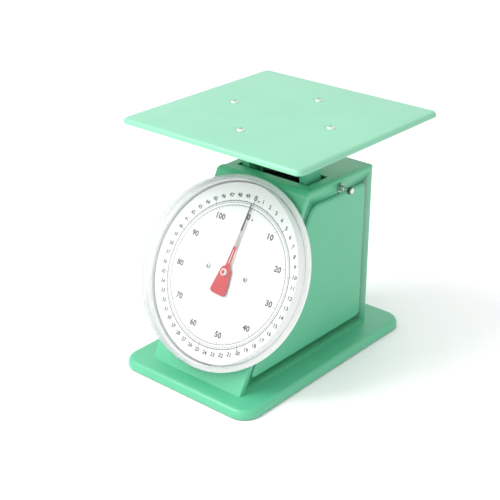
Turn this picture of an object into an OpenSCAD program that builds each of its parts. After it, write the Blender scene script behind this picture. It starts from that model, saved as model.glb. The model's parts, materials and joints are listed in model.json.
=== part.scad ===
// Mechanical dial platform scale, 50 kg by 1 kg and 110 lb by 10 lb. Millimetres and degrees.
// The origin is on the floor under the middle of the base plate: +Z is up and the dial faces -Y.

/* [Base] */
// Width of the base plate
base_w = 193; // [187:1:200]
// Depth of the base plate
base_d = 300; // [296:1:306]
// Height of the base plate's top above the floor
base_top = 12; // [11:0.5:13]
// Corner radius of the base plate, seen from above
base_corner = 22; // [16:1:28]

/* [Casing] */
// Width of the casing over the lips of the front panel
case_w = 133; // [131:1:136]
// Front edge of the casing at the base plate
case_front = -126.5; // [-129:0.5:-125]
// Back of the casing
case_back = 112; // [110:1:116]
// Height of the casing's top above the floor
case_top = 218.5; // [217:0.5:222]
// Sheet thickness of the casing, base plate and platform
sheet = 1; // [0.8:0.1:1.2]

/* [Dial] */
// Lean of the dial and the front panel, back from upright
dial_tilt = 29; // [28:0.5:30]
// Height of the dial's centre
dial_z = 125; // [123:0.5:127]
// Radius of the printed dial
dial_r = 103.5; // [101:0.5:104]
// Radius of the clear cover's flange
cover_flange_r = 112.5; // [111:0.5:114]
// How far the clear cover stands in front of its flange
cover_rise = 15.8; // [14:0.2:18]
// Standoff of the cover flange's plane from the front panel
dial_standoff = 11; // [10.5:0.5:12]

/* [Platform] */
// Side of the square weighing platform
platform_w = 253; // [245:1:260]
// Height of the platform's top above the floor, with no load
platform_top = 285.5; // [284:0.5:290]
// Depth of the platform's turned-down rim
platform_rim = 6; // [5.5:0.5:9]
// Middle of the platform, from the middle of the base plate
platform_y = 21; // [19:1:23]
// Distance of each platform screw from the middle
screw_reach = 69; // [60:1:75]

/* [Movement] */
// Gear module of the rack and pinion
gear_module = 0.8; // [0.8:0.8:0.8]
// Teeth of the pinion, which turns once for 50 kg
pinion_teeth = 10; // [10:1:10]

/* [Zero adjustment] */
// Length of the zero knob outside the casing
knob_reach = 17; // [14:1:20]
// Diameter of the zero knob
knob_d = 8.4; // [8:0.2:9]

/* [Hidden] */
$fn = 64;

eps = 0.01;
over = 1;                       // cutters run this far past the faces they open
fit = 0.05;                     // running clearance of a shaft in its hole
gap = 0.3;                      // clearance between other moving faces
m3_r = 1.5;
m4_r = 2;

mint = [0.45, 0.84, 0.67];
zinc = [0.78, 0.78, 0.76];
steel = [0.62, 0.63, 0.65];
brass_tone = [0.80, 0.66, 0.36];
rubber_tone = [0.12, 0.12, 0.12];

// Pan-shaped sheet parts
base_edge = 6;                  // rolled edge radius of the base plate
foot_gap = 1.5;                 // the base plate's rim hangs this far above the floor
foot_inset = 20;
foot_r = 9;
platform_corner = 8;
platform_edge = 5;

// Side outline of the casing: front foot, front top, back top, back foot
case_z0 = base_top;
front_top = case_front + (case_top - case_z0) * tan(dial_tilt);
case_side = [[case_front, case_z0], [front_top, case_top], [case_back, case_top], [case_back, case_z0]];
front_round = 10;
back_round = 8;
top_round = 6;
lap = sheet;                    // the front panel laps over the casing by one sheet
lip = 6;                        // depth of the front panel's wrapped lips

// Dial frame: x to the right, y up the dial, z out of the dial, from the cover flange's centre
dial_y = case_front + (dial_z - case_z0) * tan(dial_tilt) - dial_standoff / cos(dial_tilt);
panel_z = -dial_standoff;
pan_r = 106.3;
face_z = -5;
face_t = 0.8;
dial_screw_x = 27.5;
pointer_z = -2.2;
pointer_t = 0.8;
hub_top = 2;
dial_zero = 3.5;                // the dial's zero stands this many degrees clockwise of upright
cover_t = 1.6;

// Rack and pinion: one turn of the pinion is one full load
pitch_r = gear_module * pinion_teeth / 2;
rack_travel = 2 * PI * pitch_r;
travel = rack_travel * cos(dial_tilt);
rack_mid = -32.5;               // middle of the rack's thickness in the dial frame
rack_t = 4;
rack_pin_r = 1.2;
rack_back = 8.5;
rack_top = 62;
rack_bottom = -6;
rack_pin_at = 58;
plate_w = 48;
plate_h = 54;
plate_t = 1.5;
front_plate_z = -17;
back_plate_z = -42;
pillar_x = 19;
pillar_y = 21;
arbor_r = 1.5;

// Carrier: the inverted U that hangs from the platform into the casing
carrier_y = 22;
carrier_w = 94;
carrier_d = 26;
carrier_t = 1.6;
carrier_flange = 10;
spider_t = 3;
spider_z = platform_top - sheet - spider_t;
web_z = spider_z - 3;
leg_foot = 66;
crossbar_z = 100;
opening_x = 104;
opening_y0 = 5;
opening_y1 = 42;

// Inner frame and the two parallel levers
frame_x = 58.5;                 // inner face of each frame plate
frame_t = 1.5;
frame_y0 = 40;
frame_y1 = 106;
frame_top = 213;
pivot_y = 95;
pivot_r = 2.5;
upper_pivot_z = 165;
lower_pivot_z = 70;
lever_x = 49;                   // inner face of each lever arm
lever_t = 1.5;
lever_len = pivot_y - carrier_y;
lever_rise = travel / 2;        // levers lean up at rest and down by as much at full load
pin_r = 2;

// Springs
hanger_z = 186;
hanger_t = 4;
spring_x = 24;
spring_r = 8;
wire_r = 1.6;
spring_turns = 20;
spring_pitch = 3.6;
spring_top = 181;
plug_r = spring_r - wire_r - 0.5;

// Zero adjustment
zero_y = 46;
zero_z = 207;
spindle_r = 2.5;
bush_r = 4;
cam_r = 5.5;
cam_throw = 0.7;

// --- Helpers ---

// Rounded rectangle, true arcs
module round_rect(w, d, r) {
    square([w - 2 * r, d], center = true);
    square([w, d - 2 * r], center = true);
    for (x = [-1, 1], y = [-1, 1]) translate([x * (w / 2 - r), y * (d / 2 - r)]) circle(r);
}

function unit(v) = v / norm(v);
function corner_half(a, v, b) = acos(unit(a - v) * unit(b - v)) / 2;
function corner_mid(a, v, b, r) = v + unit(unit(a - v) + unit(b - v)) * r / sin(corner_half(a, v, b));
function corner_in(a, v, r, half) = v + unit(a - v) * r / tan(half);
function bearing(v) = atan2(v[1], v[0]);
function short_way(t) = t > 180 ? t - 360 : t < -180 ? t + 360 : t;

// Arc of radius r in place of corner v, on the way from a to b
arc_steps = 8;
function corner_arc(a, v, b, r) = let (
        half = corner_half(a, v, b), mid = corner_mid(a, v, b, r),
        start = bearing(corner_in(a, v, r, half) - mid),
        sweep = short_way(bearing(corner_in(b, v, r, half) - mid) - start))
    [for (k = [0:arc_steps]) mid + r * [cos(start + sweep * k / arc_steps), sin(start + sweep * k / arc_steps)]];

// Outline whose corners are rounded to the given radii; 0 keeps a corner sharp
module round_outline(pts, radii) {
    n = len(pts);
    polygon([for (i = [0:n - 1])
        each radii[i] > 0 ? corner_arc(pts[(i + n - 1) % n], pts[i], pts[(i + 1) % n], radii[i]) : [pts[i]]]);
}

module round_prism(pts, radii, h) {
    linear_extrude(h, center = true) round_outline(pts, radii);
}

// Section of a pan's rim: top plate, rounded edge and hanging wall, out to radius r
module rim_section(r, h, e, t) {
    difference() {
        edge_section(r, h, e);
        translate([-over, -over]) edge_section(r - t + over, h - t + over, max(e - t, eps));
    }
}

module edge_section(r, h, e) {
    square([r - e, h]);
    square([r, h - e]);
    translate([r - e, h - e]) intersection() {
        circle(e);
        square(e);
    }
}

// Pan, open below: its top is at height h, with corner radius r and rolled edge e
module pan(w, d, h, r, e, t) {
    for (i = [0:3]) rotate(90 * i) {
        along = i % 2 == 0 ? d : w;
        across = i % 2 == 0 ? w : d;
        translate([across / 2 - r, 0, 0]) rotate([90, 0, 0])
            linear_extrude(along - 2 * r, center = true) rim_section(r, h, e, t);
        translate([across / 2 - r, along / 2 - r, 0]) rotate_extrude(angle = 90) rim_section(r, h, e, t);
    }
    translate([0, 0, h - t / 2]) cube([w - 2 * r, d - 2 * r, t], center = true);
}

module dial_frame() {
    translate([0, dial_y, dial_z]) rotate([90 - dial_tilt, 0, 0]) children();
}

// Cylinder along +X from x
module rod_x(x, len, r) {
    translate([x, 0, 0]) rotate([0, 90, 0]) cylinder(h = len, r = r);
}

// Domed round head with its flat side at z = 0, curving up
module dome(r, h) {
    ball = (r * r + h * h) / (2 * h);
    intersection() {
        translate([0, 0, h - ball]) sphere(ball);
        cylinder(h = h + over, r = r);
    }
}

// Pan-head screw along +Z: the head stands on z = 0, the shank goes down
module screw(head_r, head_h, r, len) {
    dome(head_r, head_h);
    translate([0, 0, -len]) cylinder(h = len + head_h / 3, r = r);
}

module hex_nut(across, h, r) {
    difference() {
        cylinder(h = h, r = across / 2 / cos(30), $fn = 6);
        translate([0, 0, -over]) cylinder(h = h + 2 * over, r = r);
    }
}

module foot_places() {
    for (x = [-1, 1], y = [-1, 1]) translate([x * (base_w / 2 - foot_inset), y * (base_d / 2 - foot_inset), 0])
        children();
}

module frame_foot_places() {
    for (s = [-1, 1], y = [frame_y0 + 12, frame_y1 - 12]) translate([s * (frame_x - 6), y, 0]) children();
}

// Screws that hold the casing's foot flanges to the base plate
module case_foot_places() {
    for (s = [-1, 1], y = [-95, 26]) translate([s * (case_w / 2 - 9), y, 0]) children();
}

module stop_place() { translate([0, carrier_y, 0]) children(); }

module rear_screw_places() {
    for (x = [-1, 1], z = [28, 196]) translate([x * (case_w / 2 - 13), case_back, z]) rotate([-90, 0, 0]) children();
}

module pillar_places() {
    for (x = [-1, 1], y = [-1, 1]) translate([x * pillar_x, y * pillar_y, 0]) children();
}

module rivet_places() {
    for (a = [0:90:270]) rotate(a) translate([screw_reach, 0, 0]) children();
}

// --- Base ---

module base_plate() {
    color(mint) difference() {
        translate([0, 0, foot_gap]) pan(base_w, base_d, base_top - foot_gap, base_corner, base_edge, sheet + 0.2);
        frame_foot_places() cylinder(h = base_top + over, r = m4_r);
        case_foot_places() cylinder(h = base_top + over, r = m4_r);
        stop_place() cylinder(h = base_top + over, r = 4);
    }
}

// Bonded into the corners of the base plate from below
module rubber_feet() {
    color(rubber_tone) foot_places() cylinder(h = base_top - sheet - 0.2, r1 = foot_r - 1, r2 = foot_r);
}

// --- Casing ---

// Solid inside the casing's outer surface, drawn in by d; the front plane is drawn in by f
module case_form(d, f, floor_z) {
    lean = [cos(dial_tilt), -sin(dial_tilt)] * f;
    top = case_top - d;
    foot = case_front + lean[0] - (case_z0 + lean[1] - floor_z) * tan(dial_tilt);
    head = foot + (top - floor_z) * tan(dial_tilt);
    intersection() {
        rotate([90, 0, 90])
            round_prism([[foot, floor_z], [head, top], [case_back - d, top], [case_back - d, floor_z]],
                [0, front_round - d, back_round - d, 0], case_w - 2 * d);
        rotate([90, 0, 0])
            round_prism([[-case_w / 2 + d, floor_z], [-case_w / 2 + d, top],
                [case_w / 2 - d, top], [case_w / 2 - d, floor_z]],
                [0, top_round - d, top_round - d, 0], 4 * case_back);
    }
}

// Everything in front of a plane that lies d behind the front panel's face
module front_slab(d) {
    translate([0, case_front + d / cos(dial_tilt), case_z0]) rotate([-dial_tilt, 0, 0])
        translate([-case_w, -case_back, -case_top]) cube([2 * case_w, case_back, 3 * case_top]);
}

// Side outline of the raised panel pressed into each side of the casing
module raised_side(grow, h) {
    z0 = case_z0 + 15 - grow;
    z1 = case_top - 21 + grow;
    y0 = case_front + (z0 - case_z0) * tan(dial_tilt) + 13 - grow;
    y1 = case_front + (z1 - case_z0) * tan(dial_tilt) + 21 - grow;
    rotate([90, 0, 90])
        round_prism([[y0, z0], [y1, z1], [case_back - 18 + grow, z1], [case_back - 18 + grow, z0]],
            [6, 8, 6, 6], h);
}

module casing() {
    press = lap;                // the side panels are pressed out, flush with the front panel's lips
    wall_x = case_w / 2 - lap;
    color(mint) difference() {
        union() {
            difference() {
                case_form(lap, lap, case_z0);
                case_form(lap + sheet, -over, case_z0 - over);
            }
            // Foot flanges along both sides
            for (s = [-1, 1]) translate([s * (case_w / 2 - 9), -35, case_z0 + sheet / 2])
                cube([15, 140, sheet], center = true);
            for (s = [-1, 1]) translate([s * (wall_x + press / 4), 0, 0]) raised_side(0, press * 3 / 2);
        }
        for (s = [-1, 1]) translate([s * (wall_x - press), 0, 0]) raised_side(-sheet, 2 * press);
        // Opening for the carrier's legs
        translate([0, (opening_y0 + opening_y1) / 2, case_top - 2 * lap - sheet]) linear_extrude(4 * sheet)
            round_rect(opening_x, opening_y1 - opening_y0, 5);
        // Back opening, closed by the rear panel
        translate([0, case_back + over, (case_z0 + case_top) / 2 - 4]) rotate([90, 0, 0])
            linear_extrude(10) round_rect(case_w - 34, case_top - case_z0 - 32, 8);
        rear_screw_places() translate([0, 0, -10]) cylinder(h = 20, r = m3_r);
        case_foot_places() cylinder(h = base_top + 5, r = m4_r);
        translate([0, zero_y, zero_z]) rod_x(case_w / 2 - 6, 10, bush_r);
    }
}

module front_panel() {
    color(mint) difference() {
        intersection() {
            difference() {
                case_form(0, 0, case_z0);
                case_form(lap, lap, case_z0 - over);
            }
            front_slab(lip);
        }
        dial_frame() {
            translate([0, 0, panel_z - sheet - over]) cylinder(h = sheet + 2 * over, r = 9);
            translate([0, 0, panel_z - sheet - over]) pillar_places() cylinder(h = sheet + 2 * over, r = m3_r);
        }
    }
}

module rear_panel() {
    color(mint) difference() {
        translate([0, case_back, (case_z0 + case_top) / 2 - 4]) rotate([90, 0, 0])
            linear_extrude(lap) round_rect(case_w - 16, case_top - case_z0 - 14, 8);
        rear_screw_places() translate([0, 0, -10]) cylinder(h = 20, r = m3_r);
        for (i = [-2:2]) translate([0, case_back, 150 + 8 * i]) rotate([90, 0, 0])
            translate([0, 0, -over]) linear_extrude(lap + 2 * over) round_rect(46, 3, 1.45);
    }
}

module rear_screws() {
    color(zinc) rear_screw_places() screw(3.2, 1.9, m3_r, 6);
}

module casing_screws() {
    color(zinc) case_foot_places() translate([0, 0, base_top - sheet - 0.2]) {
        mirror([0, 0, 1]) dome(4, 2.4);
        cylinder(h = 6, r = m4_r);
    }
}

// --- Inner frame ---

module frame_plate(s) {
    color(steel) difference() {
        union() {
            translate([s > 0 ? frame_x : -frame_x - frame_t, frame_y0, base_top])
                cube([frame_t, frame_y1 - frame_y0, frame_top - base_top]);
            translate([s > 0 ? frame_x - 12 : -frame_x, frame_y0, base_top])
                cube([12, frame_y1 - frame_y0, frame_t]);
        }
        for (z = [upper_pivot_z, lower_pivot_z]) translate([0, pivot_y, z]) rod_x(-case_w / 2, case_w, pivot_r);
        for (z = [110, 140]) translate([0, 64, z]) rod_x(-case_w / 2, case_w, 12);
        translate([0, zero_y, zero_z]) rod_x(-case_w / 2, case_w, spindle_r + fit);
        frame_foot_places() cylinder(h = base_top + 5, r = m4_r);
        hanger_tongues(0);
    }
}

module frame_plate_left() { frame_plate(-1); }
module frame_plate_right() { frame_plate(1); }

// Tongues of the spring hanger, which sit in slots of the frame plates
module hanger_tongues(trim) {
    for (s = [-1, 1]) translate([s * (frame_x + frame_t / 2), 60, hanger_z + hanger_t / 2])
        cube([frame_t + 2 * eps, 16 - trim, hanger_t], center = true);
}

module frame_screws() {
    color(zinc) frame_foot_places() translate([0, 0, base_top + frame_t]) screw(3.8, 2.2, m4_r, 7);
}

module spring_hanger() {
    color(steel) difference() {
        union() {
            translate([-frame_x, 46, hanger_z]) cube([2 * frame_x, 24, hanger_t]);
            translate([-34, 9, hanger_z]) cube([68, 40, hanger_t]);
            translate([50, zero_y - 5, hanger_z])
                cube([6, 12, zero_z - cam_r - cam_throw - 0.1 - hanger_z]);
            hanger_tongues(0);
        }
        for (s = [-1, 1]) translate([s * spring_x, carrier_y, hanger_z - over])
            cylinder(h = hanger_t + 2 * over, r = 2.5);
    }
}

module hanger_studs() {
    color(zinc) for (s = [-1, 1]) translate([s * spring_x, carrier_y, 0]) {
        translate([0, 0, hanger_z - 3]) cylinder(h = 3, r = spring_r + wire_r);
        translate([0, 0, hanger_z - 13]) cylinder(h = 10 + eps, r = plug_r);
        translate([0, 0, hanger_z - eps]) cylinder(h = hanger_t + 6, r = 2.5);
    }
}

module hanger_nuts() {
    color(zinc) for (s = [-1, 1]) translate([s * spring_x, carrier_y, hanger_z + hanger_t]) hex_nut(8, 4, 2.5);
}

module overload_stop() {
    color(zinc) stop_place() {
        translate([0, 0, 4]) cylinder(h = crossbar_z - travel - 8 - 4, r = 4);
        translate([0, 0, base_top]) hex_nut(13, 6.5, 4 - eps);
    }
}

module stop_buffer() {
    top = crossbar_z - travel - 1;
    color(rubber_tone) stop_place() difference() {
        translate([0, 0, top - 14]) cylinder(h = 14, r1 = 7.5, r2 = 6.5);
        translate([0, 0, top - 14 - over]) cylinder(h = 7 + over, r = 4);
    }
}

module pivot_rod(z) {
    len = 2 * (frame_x + frame_t) + 5;
    color(zinc) translate([0, pivot_y, z]) rod_x(-len / 2, len, pivot_r);
}

module upper_pivot_rod() { pivot_rod(upper_pivot_z); }
module lower_pivot_rod() { pivot_rod(lower_pivot_z); }

module pivot_clips() {
    color(steel) for (z = [upper_pivot_z, lower_pivot_z], s = [-1, 1])
        translate([s > 0 ? frame_x + frame_t : -frame_x - frame_t - 0.8, pivot_y, z]) difference() {
            rod_x(0, 0.8, 4.4);
            rod_x(-over, 3, pivot_r);
            translate([-over, -1.6, -6]) cube([3, 3.2, 6]);
        }
}

// --- Levers ---

// Two arms and a cross tie; at rest the front ends stand lever_rise above the pivot
module lever(z) {
    lean = asin(lever_rise / lever_len);
    color(steel) translate([0, pivot_y, z]) rotate([-lean, 0, 0]) difference() {
        union() {
            for (s = [-1, 1]) translate([s > 0 ? lever_x : -lever_x - lever_t, 0, 0]) rotate([90, 0, 90])
                linear_extrude(lever_t) {
                    translate([-lever_len, -6]) square([lever_len, 12]);
                    circle(6);
                    translate([-lever_len, 0]) circle(6);
                }
            translate([-lever_x - eps, -34, 4.5]) cube([2 * lever_x + 2 * eps, 16, 1.5]);
        }
        rod_x(-case_w / 2, case_w, pivot_r + fit);
        // Slots that ride on the carrier's pins
        for (s = [-1, 1]) translate([s * (lever_x + lever_t / 2), -lever_len, 0]) rotate([90, 0, 90])
            linear_extrude(3 * lever_t, center = true) {
                square([2.4, 2 * (pin_r + gap)], center = true);
                for (e = [-1.2, 1.2]) translate([e, 0]) circle(pin_r + gap);
            }
    }
}

module upper_lever() { lever(upper_pivot_z); }
module lower_lever() { lever(lower_pivot_z); }

// --- Dial ---

module dial_pan() {
    wall = 1;
    color(mint) dial_frame() difference() {
        union() {
            rotate_extrude($fn = 128) {
                translate([9, panel_z]) square([pan_r - 9, wall]);
                translate([pan_r - wall, panel_z]) square([wall, -panel_z - 0.8]);
                translate([pan_r - wall, -0.8 - wall]) square([cover_flange_r - pan_r + wall, wall]);
                translate([cover_flange_r - wall, -4]) square([wall, 3]);
            }
            for (s = [-1, 1]) translate([s * dial_screw_x, 0, panel_z])
                cylinder(h = face_z - face_t - panel_z, r = 5);
        }
        for (s = [-1, 1]) translate([s * dial_screw_x, 0, panel_z - over]) cylinder(h = 10, r = m3_r);
        translate([0, 0, panel_z - over]) pillar_places() cylinder(h = 4, r = m3_r);
    }
}

module dial_face() {
    color("white") dial_frame() translate([0, 0, face_z - face_t]) difference() {
        cylinder(h = face_t, r = dial_r, $fn = 128);
        translate([0, 0, -over]) cylinder(h = face_t + 2 * over, r = 5);
        for (s = [-1, 1]) translate([s * dial_screw_x, 0, -over]) cylinder(h = face_t + 2 * over, r = m3_r);
    }
}

module dial_screws() {
    color(zinc) dial_frame() for (s = [-1, 1]) translate([s * dial_screw_x, 0, face_z]) screw(3, 1.5, m3_r, 5);
}

module dial_cover() {
    draft = 0.8;                // the side wall narrows by this much towards the front
    wall_r = 108.5;
    color([0.95, 0.97, 0.97, 0.35]) dial_frame() rotate_extrude($fn = 128) difference() {
        union() {
            round_outline([[0, -0.8], [wall_r, -0.8], [wall_r - draft, cover_rise], [0, cover_rise]], [0, 0, 2.6, 0]);
            translate([0, -0.8]) square([cover_flange_r, cover_t]);
        }
        translate([-over, -over - 0.8]) round_outline([[0, 0], [wall_r - cover_t + over, 0],
            [wall_r - draft - cover_t + over, cover_rise - cover_t + over + 0.8],
            [0, cover_rise - cover_t + over + 0.8]], [0, 0, 1.2, 0]);
        translate([-200, -200]) square([200, 400]);
    }
}

// --- Movement behind the dial ---

module movement_plate(z) {
    color(brass_tone) dial_frame() translate([0, 0, z]) difference() {
        linear_extrude(plate_t) round_rect(plate_w, plate_h, 4);
        translate([0, 0, -over]) cylinder(h = plate_t + 2 * over, r = 2.5);
        translate([0, 0, -over]) pillar_places() cylinder(h = plate_t + 2 * over, r = m3_r);
        if (z < front_plate_z) for (y = [-5, 7]) translate([12.5, y, -over])
            cylinder(h = plate_t + 2 * over, r = 1);
    }
}

module movement_front_plate() { movement_plate(front_plate_z); }
module movement_back_plate() { movement_plate(back_plate_z); }

module movement_post(z0, z1) {
    color(brass_tone) dial_frame() pillar_places() translate([0, 0, z0]) difference() {
        cylinder(h = z1 - z0, r = 3);
        translate([0, 0, -over]) cylinder(h = z1 - z0 + 2 * over, r = m3_r);
    }
}

module movement_pillars() { movement_post(back_plate_z + plate_t, front_plate_z); }
module movement_spacers() { movement_post(front_plate_z + plate_t, panel_z - sheet); }

module movement_screws() {
    color(zinc) dial_frame() pillar_places() {
        translate([0, 0, panel_z + 1]) screw(2.8, 1.6, m3_r, 14);
        translate([0, 0, back_plate_z]) mirror([0, 0, 1]) screw(2.8, 1.6, m3_r, 8);
    }
}

module arbor_bushes() {
    color(brass_tone) dial_frame() for (z = [front_plate_z, back_plate_z]) translate([0, 0, z]) difference() {
        union() {
            cylinder(h = plate_t, r = 2.5);
            translate([0, 0, -1]) cylinder(h = 1, r = 3.4);
        }
        translate([0, 0, -2]) cylinder(h = 6, r = arbor_r + 0.03);
    }
}

// Channel that keeps the rack against the pinion
module rack_guide() {
    half = rack_t / 2 + 0.15;
    color(brass_tone) dial_frame() difference() {
        union() {
            translate([rack_back + 0.2, -9, back_plate_z + plate_t])
                cube([5.5, 20, rack_mid + half + 2 - back_plate_z - plate_t]);
            for (z = [rack_mid + half, rack_mid - half - 2]) translate([6.2, -9, z]) cube([3, 20, 2]);
        }
        for (y = [-5, 7]) translate([12.5, y, back_plate_z]) cylinder(h = 6, r = 1);
    }
}

// Involute flank points of a gear of pitch radius pitch_r
press_angle = 20;
base_circle = pitch_r * cos(press_angle);
function flank_turn(r) = let (a = acos(min(1, base_circle / r))) tan(a) * 180 / PI - a;
tooth_play = 0.06;
half_tooth = 90 / pinion_teeth - tooth_play / pitch_r * 90 / PI;
root_r = pitch_r - 0.72 * gear_module;
tip_r = pitch_r + 0.9 * gear_module;
function flank(r, side) = let (a = side * (half_tooth + flank_turn(pitch_r) - flank_turn(r)))
    [r * cos(a), r * sin(a)];

module pinion() {
    steps = 4;
    color(brass_tone) dial_frame() translate([0, 0, rack_mid - 2.5]) difference() {
        linear_extrude(5) union() {
            circle(root_r);
            for (i = [0:pinion_teeth - 1]) rotate((i + 0.5) * 360 / pinion_teeth) polygon(concat(
                [[0, 0]], [root_r * [cos(half_tooth + 3.5), -sin(half_tooth + 3.5)]],
                [for (k = [0:steps]) flank(base_circle + (tip_r - base_circle) * k / steps, -1)],
                [for (k = [steps:-1:0]) flank(base_circle + (tip_r - base_circle) * k / steps, 1)],
                [root_r * [cos(half_tooth + 3.5), sin(half_tooth + 3.5)]]));
        }
        translate([0, 0, -over]) cylinder(h = 5 + 2 * over, r = arbor_r);
    }
}

module rack() {
    pitch = PI * gear_module;
    addendum = 0.55 * gear_module;
    depth = gear_module * 1.05;
    tip_half = pitch / 4 - tooth_play / 2 - addendum * tan(press_angle);
    root_half = pitch / 4 - tooth_play / 2 + depth * tan(press_angle);
    color(steel) dial_frame() translate([0, 0, rack_mid - rack_t / 2]) difference() {
        linear_extrude(rack_t) {
            translate([pitch_r + depth, rack_bottom]) square([rack_back - pitch_r - depth, rack_top - rack_bottom]);
            translate([pitch_r - 1, 32]) square([2, rack_top - 32]);
            for (k = [-1:11]) translate([pitch_r, k * pitch])
                polygon([[-addendum, -tip_half], [depth + eps, -root_half], [depth + eps, root_half],
                    [-addendum, tip_half]]);
        }
        translate([0, rack_pin_at, rack_t / 2]) rod_x(0, 20, rack_pin_r);
    }
}

module rack_pin() {
    color(zinc) dial_frame() translate([0, rack_pin_at, rack_mid]) {
        rod_x(rack_back - 3, 10, rack_pin_r);
        rod_x(rack_back + 7, 0.8, 2.4);
    }
}

module arbor() {
    color(steel) dial_frame() {
        translate([0, 0, back_plate_z - 3]) cylinder(h = hub_top - 0.3 - back_plate_z + 3, r = arbor_r);
    }
}

module pointer_hub() {
    color("white") dial_frame() difference() {
        union() {
            translate([0, 0, pointer_z - 1.6]) cylinder(h = 1.6, r = 3);
            translate([0, 0, pointer_z + pointer_t]) cylinder(h = hub_top - pointer_z - pointer_t, r = 3.9);
        }
        translate([0, 0, pointer_z - 4]) cylinder(h = hub_top - pointer_z + 5, r = arbor_r);
    }
}

// Slotted needle with a broad folded counterweight below the hub
module pointer() {
    fold = 1.7;                 // depth of the counterweight's turned-back edge
    tail = [[7.4, 3], [12, -26], [-12, -26], [-7.4, 3]];
    color([0.78, 0.10, 0.12]) dial_frame() rotate(-dial_zero) translate([0, 0, pointer_z]) difference() {
        union() {
            linear_extrude(pointer_t) polygon([[-3.2, 3], [-1.2, 46], [-0.6, 82], [0.6, 82], [1.2, 46], [3.2, 3]]);
            cylinder(h = pointer_t, r = 8);
            translate([0, 0, pointer_t / 2]) round_prism(tail, [0, 4, 4, 0], pointer_t);
            difference() {
                translate([0, 0, pointer_t - fold / 2]) round_prism(tail, [0, 4, 4, 0], fold);
                translate([0, 0.8, -fold]) round_prism([for (p = tail) p * 0.94], [0, 3.3, 3.3, 0], 2 * fold);
            }
        }
        translate([0, 0, -over]) linear_extrude(2 * fold) polygon([[-0.9, 11], [-0.6, 27], [0.6, 27], [0.9, 11]]);
        translate([0, 0, -3]) cylinder(h = 6, r = arbor_r);
    }
}

// --- Zero adjustment ---

// Threaded bush: its shoulder bears on the casing from inside, and the nut from outside
module zero_bush() {
    x0 = frame_x + frame_t + 0.2;
    color(zinc) translate([0, zero_y, zero_z]) difference() {
        union() {
            rod_x(x0, case_w / 2 + 1.8 - x0, bush_r);
            rod_x(x0, case_w / 2 - lap - sheet - x0, 5.4);
        }
        rod_x(0, case_w, spindle_r + fit);
    }
}

module zero_nut() {
    color(zinc) translate([case_w / 2 - lap, zero_y, zero_z]) rotate([0, 90, 0]) hex_nut(10, 2.6, bush_r);
}

module zero_spindle() {
    color(steel) translate([0, zero_y, zero_z]) rod_x(46, case_w / 2 + 12 - 46, spindle_r);
}

module zero_cam() {
    color(brass_tone) translate([50.5, zero_y, zero_z]) difference() {
        translate([0, cam_throw, 0]) rod_x(0, 5, cam_r);
        rod_x(-over, 5 + 2 * over, spindle_r);
    }
}

module zero_knob() {
    x0 = case_w / 2 + 2.4;
    len = knob_reach - 2.4;
    color(zinc) translate([x0, zero_y, zero_z]) difference() {
        union() {
            rod_x(0, len - 1.6, knob_d / 2 - 0.6);
            rod_x(1.2, 3.2, knob_d / 2);
            rod_x(len - 4.6, 3.2, knob_d / 2);
            rod_x(len - 1.6, 1.6, knob_d / 2 - 1.2);
        }
        rod_x(-over, case_w / 2 + 12 - x0 + over, spindle_r);
    }
}

// --- Platform and carrier ---

module platform() {
    color(mint) translate([0, platform_y, platform_top - platform_rim]) difference() {
        pan(platform_w, platform_w, platform_rim, platform_corner, platform_edge, sheet);
        rivet_places() cylinder(h = platform_rim + over, r = 2.5);
    }
}

module platform_screws() {
    color(zinc) translate([0, platform_y, platform_top]) rivet_places() screw(5.2, 2.3, 2.5, 8);
}

module platform_nuts() {
    color(zinc) translate([0, platform_y, spider_z - 4]) rivet_places() hex_nut(8, 4, 2.5);
}

module spider() {
    color(mint) translate([0, platform_y, spider_z]) difference() {
        linear_extrude(spider_t) {
            square([2 * screw_reach + 24, 26], center = true);
            square([26, 2 * screw_reach + 24], center = true);
        }
        rivet_places() translate([0, 0, -over]) cylinder(h = spider_t + 2 * over, r = 2.5);
        carrier_rivet_places() translate([0, carrier_y - platform_y, -over])
            cylinder(h = spider_t + 2 * over, r = m4_r);
    }
}

module carrier_rivet_places() {
    for (x = [-30, 30]) translate([x, 0, 0]) children();
}

module carrier() {
    color(mint) translate([0, carrier_y, 0]) difference() {
        translate([-carrier_w / 2, -carrier_d / 2, leg_foot]) cube([carrier_w, carrier_d, spider_z - leg_foot]);
        // Space between the two channel-shaped legs
        translate([-carrier_w / 2 + carrier_t, -carrier_d / 2 + carrier_t, leg_foot - over])
            cube([carrier_w - 2 * carrier_t, carrier_d - 2 * carrier_t, web_z - leg_foot + over]);
        translate([-carrier_w / 2 + carrier_flange, -carrier_d, leg_foot - over])
            cube([carrier_w - 2 * carrier_flange, 2 * carrier_d, web_z - leg_foot + over]);
        carrier_rivet_places() translate([0, 0, web_z - over]) cylinder(h = 10, r = m4_r);
        for (z = [upper_pivot_z, lower_pivot_z]) translate([0, 0, z + lever_rise]) rod_x(-60, 120, pin_r);
        for (s = [-1, 1]) translate([s * (carrier_w / 2 - 5), -carrier_d / 2 - over, 160])
            rotate([-90, 0, 0]) cylinder(h = carrier_t + 2 * over, r = m3_r);
        for (s = [-1, 1]) translate([0, 0, crossbar_z + 5]) rod_x(s * carrier_w / 2 - 3, 6, m3_r);
    }
}

module carrier_rivets() {
    color(zinc) translate([0, carrier_y, 0]) carrier_rivet_places() {
        translate([0, 0, web_z]) cylinder(h = spider_t + 3, r = m4_r);
        translate([0, 0, web_z]) mirror([0, 0, 1]) dome(3.6, 2);
    }
}

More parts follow.
